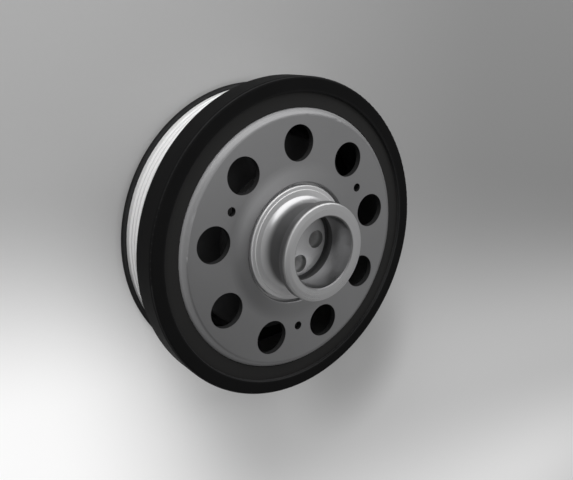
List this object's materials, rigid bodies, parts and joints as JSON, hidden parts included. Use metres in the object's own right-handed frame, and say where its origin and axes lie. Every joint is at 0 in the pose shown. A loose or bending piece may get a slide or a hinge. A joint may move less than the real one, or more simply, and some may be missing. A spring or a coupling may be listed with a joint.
{
  "type": "water pump pulley",
  "caption": "Water pump pulley with a bored nose hub, a pressed web with lightening holes, a rubber ring, a heavy front ring and a grooved belt ring.",
  "frame": {"origin": "centre of the back plate's rear face, on the axis", "axes": "+Z along the axis towards the nose, +X through the centre of one lightening hole"},
  "size_m": [0.1864, 0.1864, 0.0694],
  "materials": {
    "hub_steel": "turned, satin",
    "web_steel": "pressed and plated, satin",
    "ring_rubber": "matt moulded",
    "black_iron": "black coating, satin",
    "bare_steel": "turned, bare",
    "black_plate": "black coating, satin"
  },
  "bodies": {
    "root": {"hub": "hub_steel", "web": "web_steel", "rubber_ring": "ring_rubber", "front_ring": "black_iron", "belt_ring": "bare_steel", "back_plate": "black_plate"}
  },
  "joints": []
}
